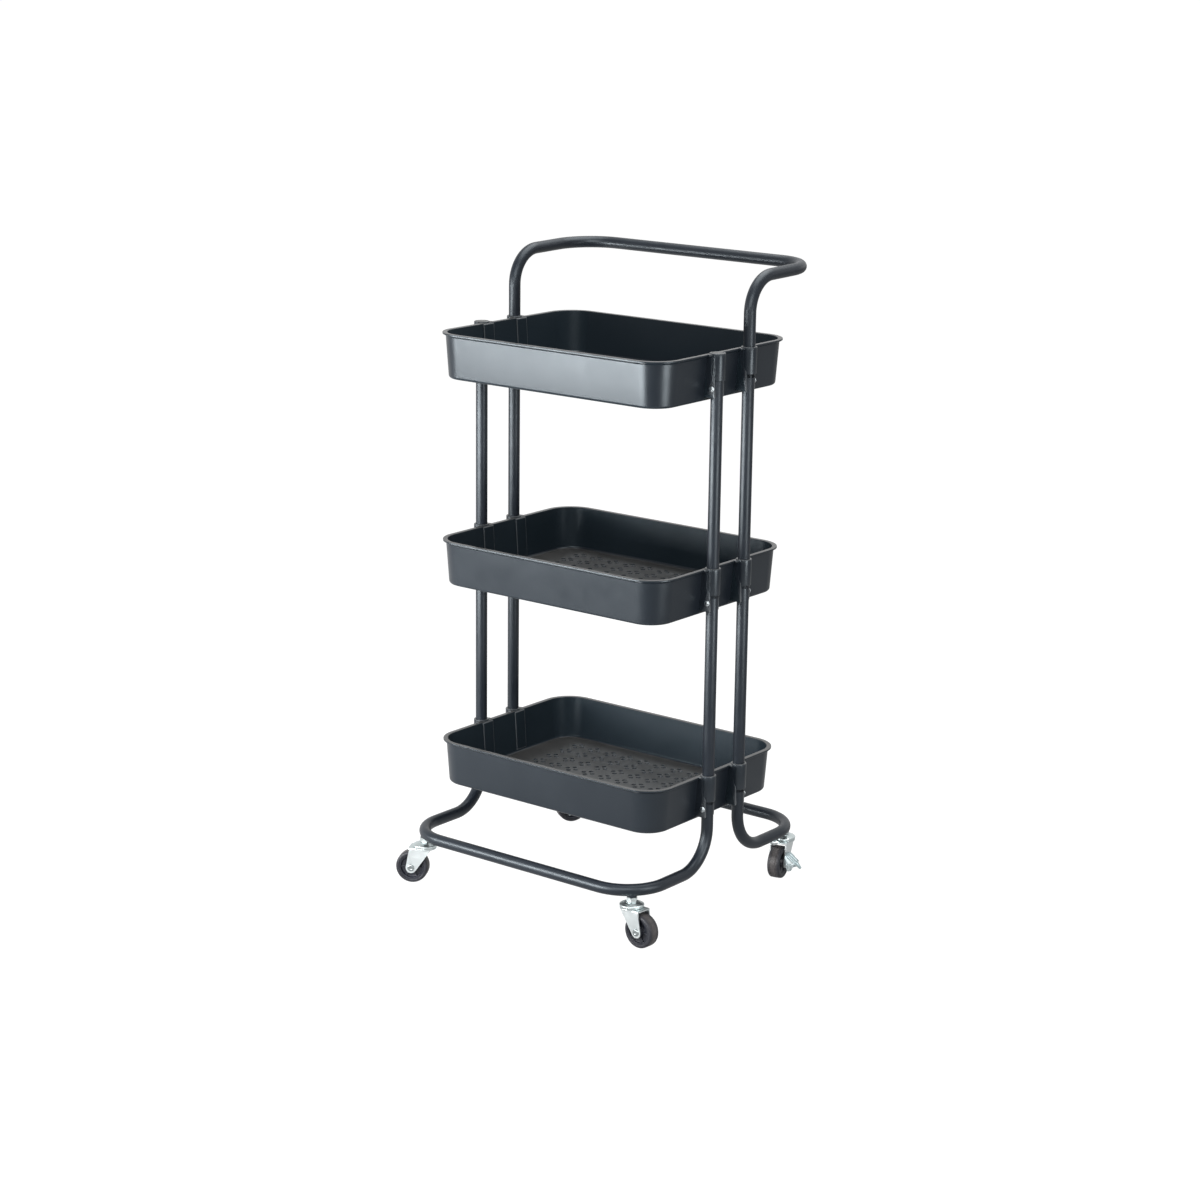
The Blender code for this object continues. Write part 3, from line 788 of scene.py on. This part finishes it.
def screws():
    """Pan heads with a cross recess."""
    outline = [
        (0, -SCREW_REACH),
        (SCREW_SHANK, -SCREW_REACH),
        (SCREW_SHANK, GAP),
        (SCREW_HEAD, GAP, 0.0003),
        (SCREW_HEAD * 0.96, GAP + SCREW_HEAD_HEIGHT * 0.62, 0.0012),
        (SCREW_HEAD * 0.40, GAP + SCREW_HEAD_HEIGHT),
        (0, GAP + SCREW_HEAD_HEIGHT),
    ]
    bm = lathe(filleted(outline, 5), 32)
    top = GAP + SCREW_HEAD_HEIGHT
    for long, wide in ((RECESS_LONG, RECESS_WIDE), (RECESS_WIDE, RECESS_LONG)):
        slot = [(-long, -wide), (long, -wide), (long, wide), (-long, wide)]
        bm = cut(bm, prism(slot, top - RECESS_DEPTH, top + 0.001))
    pattern = bpy.data.meshes.new("screw_look")
    bm.to_mesh(pattern)
    bm.free()
    for tier in TIERS:
        for side, sign_x in SIDES:
            for end, sign_y in ENDS:
                seat = Vector((sign_x * POST_X, sign_y * (POST_Y + COLLAR_RADIUS), RIMS[tier] - SCREW_DROP))
                mesh = pattern.copy()
                mesh.transform(Matrix.Translation(seat) @ Matrix.Rotation(math.radians(-90 * sign_y), 4, "X"))
                show(f"screw_{tier}_{end}_{side}", mesh, finishes["screw_zinc"], 30)
    bpy.data.meshes.remove(pattern)


# ---------------------------------------------------------------- casters


def stem():
    """The threaded stem, the upper ball race and the rivet head that holds the fork, in one piece."""
    under = FORK_TOP - FORK_SHEET
    outline = [
        (0, under - RIVET_HEAD_HEIGHT),
        (RIVET_HEAD - 0.0012, under - RIVET_HEAD_HEIGHT),
        (RIVET_HEAD, under - RIVET_HEAD_HEIGHT * 0.4, 0.0004),
        (RIVET_HEAD, under - GAP),
        (RIVET_RADIUS, under - GAP),
        (RIVET_RADIUS, FORK_TOP + GAP),
        (RACE_RADIUS - 0.0005, FORK_TOP + GAP, 0.0002),
        (RACE_RADIUS, FORK_TOP + 0.0036, 0.0009),
        (RACE_RADIUS * 0.86, FORK_TOP + 0.0047, 0.0006),
        (RACE_RADIUS * 0.56, RACE_TOP, 0.0010),
        (STEM_RADIUS, RACE_TOP),
    ]
    outline = filleted(outline, 4)
    turns = int((STEM_TOP - RACE_TOP) / THREAD_PITCH)
    for k in range(turns):
        low = RACE_TOP + k * THREAD_PITCH
        outline.append((STEM_RADIUS, low + 0.25 * THREAD_PITCH))
        outline.append((STEM_RADIUS - THREAD_DEPTH, low + 0.75 * THREAD_PITCH))
    outline += [(STEM_RADIUS - THREAD_DEPTH, STEM_TOP), (0, STEM_TOP)]
    return lathe(outline, 48)


def lock_nut():
    """A hexagon whose corners are turned down at both ends."""
    low, high = RACE_TOP + GAP, RACE_TOP + GAP + NUT_HEIGHT
    bm = lathe([(0, low), (NUT_RADIUS, low), (NUT_RADIUS, high), (0, high)], 6)
    flat = NUT_RADIUS * math.cos(math.radians(30))
    turned = [
        (0, low),
        (flat * 0.98, low),
        (NUT_RADIUS + FINE_GAP, low + 0.0007),
        (NUT_RADIUS + FINE_GAP, high - 0.0007),
        (flat * 0.98, high),
        (0, high),
    ]
    bm = overlap(bm, lathe(turned, 48))
    return cut(bm, rod(STEM_RADIUS + FINE_GAP, low - 0.001, high + 0.001, 48))


def fork():
    """A strip folded down on both sides: a plate rounded about the stem, and two legs that narrow to the
    axle."""
    out, top = FORK_HALF_WIDTH, FORK_TOP
    inside = out - FORK_SHEET
    section = [
        (-out, 0.010),
        (-out, top, FORK_FOLD),
        (out, top, FORK_FOLD),
        (out, 0.010),
        (inside, 0.010),
        (inside, top - FORK_SHEET, FORK_FOLD - FORK_SHEET),
        (-inside, top - FORK_SHEET, FORK_FOLD - FORK_SHEET),
        (-inside, 0.010),
    ]
    bm = along_x(prism(filleted(section, 5), -0.02, 0.03))
    side = arc((TRAIL, WHEEL_RADIUS), LEG_END_RADIUS, -150, 0, 16)
    side += [
        (LEG_FRONT, top - LEG_SHOULDER),
        (LEG_FRONT, top + 0.001),
        (LEG_BACK, top + 0.001),
        (LEG_BACK, top - LEG_SHOULDER),
    ]
    bm = overlap(bm, standing(prism(side, -0.02, 0.02)))
    narrow = out - FORK_FOLD
    reach = math.degrees(math.asin(narrow / FORK_BACK_RADIUS))
    plan = arc((0, 0), FORK_BACK_RADIUS, reach, 360 - reach, 36)
    plan += [(FORK_FRONT, -narrow, 0.002), (FORK_FRONT, narrow, 0.002)]
    bm = union(bm, prism(filleted(plan, 4), top - FORK_SHEET, top, 0.0003))
    bm = cut(bm, rod(RIVET_RADIUS + GAP, top - 0.004, top + 0.002, 48))
    return cut(bm, shifted(laid(rod(AXLE_RADIUS + GAP / 2, -0.015, 0.015, 32)), TRAIL, 0, WHEEL_RADIUS))


def axle(with_brake):
    """A rivet across the fork, with its ends spread. With a brake its outer end is drilled for the lever's
    pin."""
    low = FORK_HALF_WIDTH + GAP / 2
    high = low + AXLE_HEAD_HEIGHT
    dome = [(0, high - 0.0006), (0.0016, high - 0.0005, 0.0004), (0.0022, high, 0.0005)]
    dome += [(AXLE_HEAD - 0.0006, high - 0.0003, 0.0007), (AXLE_HEAD, low, 0.0001), (AXLE_RADIUS, low)]
    near = [(r, -z, *more) for r, z, *more in dome]
    if with_brake:
        end = FORK_HALF_WIDTH + AXLE_TONGUE
        bm = laid(lathe(filleted(near + [(AXLE_RADIUS, end, 0.0005), (0, end)], 3), 32))
        hole = rod(LEVER_PIN_RADIUS + FINE_GAP, -0.005, 0.005, 24)
        hole = moved(hole, Matrix.Rotation(math.radians(90), 4, "Y"))
        return cut(bm, shifted(hole, 0, FORK_HALF_WIDTH + LEVER_PIN_OUT))
    return laid(lathe(filleted(near + dome[::-1], 3), 32))


def wheel_core():
    """A moulded wheel body: hub, thin web, and ribs from the hub to the rim on both sides."""
    half = [
        (AXLE_RADIUS + GAP / 2, HUB_HALF_WIDTH),
        (HUB_RADIUS, HUB_HALF_WIDTH, 0.0005),
        (HUB_RADIUS + 0.0006, WEB_HALF_WIDTH, 0.0006),
        (CORE_RADIUS - 0.0032, WEB_HALF_WIDTH, 0.0006),
        (CORE_RADIUS - 0.0018, WHEEL_HALF_WIDTH - CORE_SET_BACK, 0.0003),
        (CORE_RADIUS, WHEEL_HALF_WIDTH - CORE_SET_BACK),
    ]
    mirrored = [(r, -z, *more) for r, z, *more in reversed(half)]
    bm = lathe(filleted(half + mirrored, 3), WHEEL_SIDES)
    reach = CORE_RADIUS - 0.0012
    half_rib = RIB_THICKNESS / 2
    outline = [(-reach, -half_rib), (reach, -half_rib), (reach, half_rib), (-reach, half_rib)]
    for k in range(RIB_COUNT):
        rib = prism(outline, -RIB_HALF_WIDTH, RIB_HALF_WIDTH, 0.0003)
        bm = union(bm, moved(rib, Matrix.Rotation(math.pi * k / RIB_COUNT, 4, "Z")))
    return laid(cut(bm, rod(AXLE_RADIUS + GAP / 2, -0.02, 0.02, WHEEL_SIDES)))


def tyre():
    """A rounded tread with two shallow grooves."""
    half_groove, groove_y, groove_depth = 0.0004, 0.0036, 0.0004
    half = [
        (CORE_RADIUS + FINE_GAP, WHEEL_HALF_WIDTH - CORE_SET_BACK),
        (CORE_RADIUS + 0.0008, WHEEL_HALF_WIDTH, 0.0004),
        (WHEEL_RADIUS - 0.0004, WHEEL_HALF_WIDTH, 0.0026),
        (WHEEL_RADIUS, groove_y + half_groove, 0.0002),
        (WHEEL_RADIUS - groove_depth, groove_y + half_groove / 2),
        (WHEEL_RADIUS - groove_depth, groove_y - half_groove / 2),
        (WHEEL_RADIUS, groove_y - half_groove, 0.0002),
    ]
    mirrored = [(r, -z, *more) for r, z, *more in reversed(half)]
    return laid(lathe(filleted(half + mirrored, 5), 96))


def brake_lever():
    """A pressed pedal that slopes down and out to a narrow tip, with two ears on the pin. Ribs stiffen it."""
    (top_y, top_z), (tip_y, tip_z) = LEVER_TOP, LEVER_TIP
    length = math.hypot(tip_y - top_y, tip_z - top_z)
    slope = math.atan2(tip_z - top_z, tip_y - top_y)
    wide, narrow = LEVER_HALF_WIDTH, LEVER_TIP_HALF_WIDTH
    plan = [
        (-wide, 0, 0.0015),
        (wide, 0, 0.0015),
        (wide, 0.30 * length, 0.004),
        (LEVER_TIP_X + narrow, length, 0.0018),
        (LEVER_TIP_X - narrow, length, 0.0018),
        (-wide, 0.30 * length, 0.004),
    ]
    bm = prism(filleted(plan, 4), -LEVER_SHEET, 0, 0.0004)
    for x, reach in ((-0.0030, 0.62), (0.0025, 0.80), (0.0068, 0.62)):
        ridge = laid(rod(LEVER_RIDGE_RADIUS, 0.003, reach * length, 12, 0.0008))
        bm = union(bm, shifted(ridge, x, 0, -0.0001))
    bm = shifted(moved(bm, Matrix.Rotation(slope, 4, "X")), 0, top_y, top_z)
    ear = filleted([
        (top_y - 0.0004, top_z - 0.0012, 0.0004),
        (top_y + 0.62 * (tip_y - top_y), top_z + 0.62 * (tip_z - top_z) - 0.0006, 0.0010),
        (0.0062, -0.0072, 0.0016),
        (0.0010, -0.0092, 0.0018),
        (-0.0040, 0.0010, 0.0012),
    ], 4)
    for low in (-LEVER_HALF_WIDTH, LEVER_HALF_WIDTH - LEVER_SHEET):
        bm = union(bm, along_x(prism(ear, low, low + LEVER_SHEET, 0.0003)))
    for y, low, high in ((0.0022, -0.0070, -0.0026), (0.0048, -0.0058, 0.0012), (0.0072, -0.0030, 0.0024)):
        for x in (-LEVER_HALF_WIDTH, LEVER_HALF_WIDTH):
            bm = union(bm, shifted(rod(LEVER_RIB_RADIUS, low, high, 12, 0.0005), x, y))
    bore = rod(LEVER_PIN_RADIUS + FINE_GAP, -0.012, 0.012, 24)
    return cut(bm, moved(bore, Matrix.Rotation(math.radians(90), 4, "Y")))


def lever_pin():
    pin = rod(LEVER_PIN_RADIUS, -LEVER_PIN_REACH, LEVER_PIN_REACH, 24, 0.0005)
    return moved(pin, Matrix.Rotation(math.radians(90), 4, "Y"))


def caster(name):
    """One caster, turned to the way its joints say that the wheel trails."""
    with_brake = name.startswith("rear")
    x, y = stem_place(name)
    wheel = next(j for j in frame["joints"] if j["name"] == f"{name}_wheel_roll")["pos_m"]
    turn = math.atan2(wheel[1] - y, wheel[0] - x)
    swivel = Matrix.Translation((x, y, 0)) @ Matrix.Rotation(turn, 4, "Z")
    at_wheel = swivel @ Matrix.Translation((TRAIL, 0, WHEEL_RADIUS))
    show(f"{name}_caster_stem", stem(), finishes["zinc"], stand=swivel)
    show(f"{name}_caster_nut", lock_nut(), finishes["zinc"], 20, swivel)
    show(f"{name}_caster_fork", fork(), finishes["zinc"], stand=swivel)
    show(f"{name}_caster_axle", axle(with_brake), finishes["rivet_zinc"], stand=at_wheel)
    show(f"{name}_wheel_core", wheel_core(), finishes["wheel_plastic"], stand=at_wheel)
    show(f"{name}_tyre", tyre(), finishes["tyre_rubber"], stand=at_wheel)
    if with_brake:
        at_pin = at_wheel @ Matrix.Translation((0, FORK_HALF_WIDTH + LEVER_PIN_OUT, 0))
        show(f"{name}_brake_lever", brake_lever(), finishes["lever_zinc"], stand=at_pin)
        show(f"{name}_brake_pin", lever_pin(), finishes["rivet_zinc"], stand=at_pin)


# ---------------------------------------------------------------- studio


def band(nodes, links, vector, axis, start, end, low, high):
    """A strength that goes from low to high as a vector's reach along an axis goes from start to end."""
    along = nodes.new("ShaderNodeVectorMath")
    along.operation = "DOT_PRODUCT"
    along.inputs[1].default_value = axis
    links.new(vector, along.inputs[0])
    ranged = nodes.new("ShaderNodeMapRange")
    ranged.inputs["From Min"].default_value = start
    ranged.inputs["From Max"].default_value = end
    ranged.inputs["To Min"].default_value = low
    ranged.inputs["To Max"].default_value = high
    links.new(along.outputs["Value"], ranged.inputs["Value"])
    return ranged.outputs["Result"]


def seen_or_reflected(nodes, links, seen, reflected):
    """One strength for what the camera sees, another for what the cart reflects."""
    strength = nodes.new("ShaderNodeMix")
    links.new(nodes.new("ShaderNodeLightPath").outputs["Is Camera Ray"], strength.inputs["Factor"])
    links.new(reflected, strength.inputs[2])
    strength.inputs[3].default_value = seen
    return strength.outputs[0]


def studio_world():
    """White to the camera. The cart reflects a bright backdrop behind it and to its left, and a dimmer room
    elsewhere, a little darker overhead. The strengths are fitted to the photo's reflections."""
    world = bpy.data.worlds.new("studio")
    world.use_nodes = True
    bpy.context.scene.world = world
    nodes, links = world.node_tree.nodes, world.node_tree.links
    direction = nodes.new("ShaderNodeTexCoord").outputs["Generated"]
    reflected = nodes.new("ShaderNodeMath")
    reflected.operation = "MULTIPLY"
    links.new(band(nodes, links, direction, (-0.6, 0.8, 0.0), -0.1, 0.6, 0.45, 1.0), reflected.inputs[0])
    links.new(band(nodes, links, direction, (0.0, 0.0, 1.0), 0.1, 0.6, 1.0, 0.8), reflected.inputs[1])
    strength = seen_or_reflected(nodes, links, 1.0, reflected.outputs["Value"])
    links.new(strength, nodes["Background"].inputs["Strength"])
    nodes["Background"].inputs["Color"].default_value = (1.0, 1.0, 1.0, 1.0)


def softbox(name, place, facing, size, radiance):
    """A rectangular light. It faces down, turned by angles in degrees about X, Y and Z."""
    light = bpy.data.lights.new(name, "AREA")
    light.shape = "RECTANGLE"
    light.size, light.size_y = size
    light.energy = radiance * 4 * size[0] * size[1]
    lamp = bpy.data.objects.new(name, light)
    lamp.location = place
    lamp.rotation_euler = tuple(math.radians(angle) for angle in facing)
    lamp.visible_camera = False
    bpy.context.scene.collection.objects.link(lamp)


def studio_lights():
    softbox("key_softbox", (-0.67, -1.16, 0.43), (90, 0, 0), (1.46, 0.37), 19.0)
    softbox("end_softbox", (1.12, -0.17, 0.44), (90, 0, 82), (0.40, 0.50), 7.0)
    softbox("front_softbox", (1.45, -2.35, 1.95), (63, 0, 32), (2.20, 1.40), 4.5)
    softbox("top_softbox", (0.10, 0.30, 1.95), (-14, 0, 0), (1.40, 1.40), 3.2)


def studio_floor():
    """A pale sweep, wide enough to fill the view, that glows evenly to the camera. In reflections its glow is
    a
    painted pool of light: it brightens to the left and the front, and fades to half between 0.45 and 0.9 m
    in front. This is fitted to the photo's reflections."""
    bm = lathe([(0, -FLOOR_THICKNESS), (FLOOR_REACH, -FLOOR_THICKNESS), (FLOOR_REACH, 0), (0, 0)], 64)
    mesh = bpy.data.meshes.new("studio_floor")
    bm.to_mesh(mesh)
    bm.free()
    paint = bpy.data.materials.new("studio_floor")
    paint.use_nodes = True
    nodes, links = paint.node_tree.nodes, paint.node_tree.links
    shader = nodes["Principled BSDF"]
    shader.inputs["Base Color"].default_value = (0.12, 0.12, 0.12, 1.0)
    shader.inputs["Roughness"].default_value = 0.9
    shader.inputs["Specular IOR Level"].default_value = 0.0
    shader.inputs["Emission Color"].default_value = (1.0, 1.0, 1.0, 1.0)
    place = nodes.new("ShaderNodeTexCoord").outputs["Object"]
    reflected = nodes.new("ShaderNodeMath")
    reflected.operation = "MULTIPLY"
    # Painted light: a pool of glow, seen only in reflections, brighter to the left and front and halved
    # further in front
    links.new(band(nodes, links, place, (-0.9, -0.44, 0.0), -0.6, 0.8, 0.27, 0.75), reflected.inputs[0])
    links.new(band(nodes, links, place, (0.0, -1.0, 0.0), 0.45, 0.90, 1.0, 0.50), reflected.inputs[1])
    strength = seen_or_reflected(nodes, links, 0.955, reflected.outputs["Value"])
    links.new(strength, shader.inputs["Emission Strength"])
    mesh.materials.append(paint)
    floor = bpy.data.objects.new("studio_floor", mesh)
    bpy.context.scene.collection.objects.link(floor)


def camera():
    """The camera at the photo's angle, found by fitting the cart's outlines."""
    lens = bpy.data.cameras.new("camera")
    lens.lens = 82.48
    lens.sensor_width = 36.0
    lens.clip_end = 200.0
    eye = bpy.data.objects.new("camera", lens)
    eye.location = (2.2138, -2.8445, 1.3258)
    eye.rotation_euler = tuple(math.radians(a) for a in (75.556, -0.6735, 38.254))
    bpy.context.scene.collection.objects.link(eye)
    bpy.context.scene.camera = eye
    bpy.context.scene.view_settings.view_transform = "Standard"


# ---------------------------------------------------------------- the cart

camera()
studio_world()
studio_lights()
studio_floor()
for end, sign_y in ENDS:
    base_tube(end, sign_y)
for end, _ in ENDS:
    for side, _ in SIDES:
        post(f"lower_post_{end}_{side}")
        post(f"upper_post_{end}_{side}")
handle()
for side, sign_x in SIDES:
    post_cap(side, sign_x)
baskets()
screws()
for name in CASTERS:
    caster(name)
